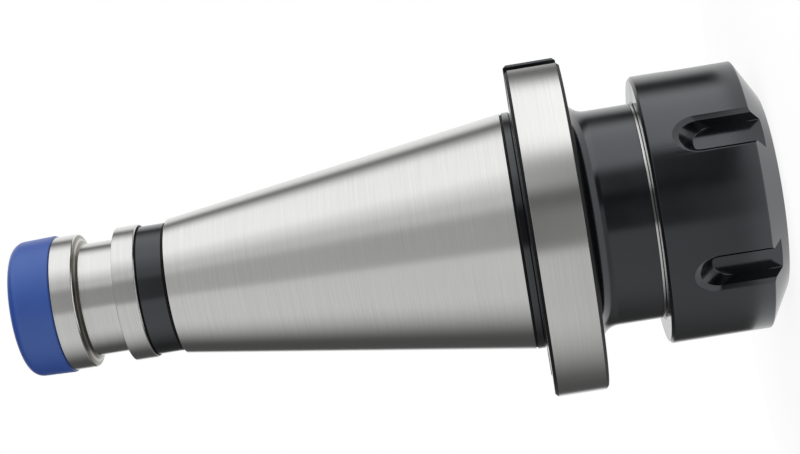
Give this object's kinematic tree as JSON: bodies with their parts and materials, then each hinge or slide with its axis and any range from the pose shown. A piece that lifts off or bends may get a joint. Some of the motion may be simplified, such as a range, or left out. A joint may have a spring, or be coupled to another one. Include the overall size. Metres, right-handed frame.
{
  "type": "collet chuck holder",
  "caption": "Steep-taper milling shank with a driving flange, a slotted clamping nut that closes a spring collet on a tool, and a plastic cap on its small end.",
  "frame": {"origin": "centre of the clamping nut's front face, which the chuck stands on", "axes": "+Z along the spindle axis, from the nut to the small end of the taper; the flange's drive slots are on +X and -X"},
  "size_m": [0.061, 0.063, 0.1413],
  "materials": {
    "ground_steel": "satin",
    "black_oxide_steel": "gloss",
    "spring_steel": "satin",
    "blue_plastic": "satin"
  },
  "bodies": {
    "shank": {"shank": "ground_steel"},
    "collet": {"collet": "spring_steel"},
    "clamping_nut": {"clamping_nut": "black_oxide_steel"},
    "end_cap": {"end_cap": "blue_plastic"}
  },
  "joints": [
    {"name": "collet_slide", "type": "slide", "parent": "shank", "child": "collet", "axis": [0, 0, -1], "range_m": [0, 0.00901]},
    {"name": "nut_turn", "type": "hinge", "parent": "collet", "child": "clamping_nut", "pos_m": [0, 0, 0.01125], "axis": [0, 0, -1], "range_deg": [0, 2160]},
    {"name": "cap_pull", "type": "slide", "parent": "shank", "child": "end_cap", "axis": [0, 0, 1], "range_m": [0, 0.03]}
  ],
  "couplings": [
    {"joint": "collet_slide", "follows": "nut_turn", "m_per_rad": 0.00023873}
  ]
}
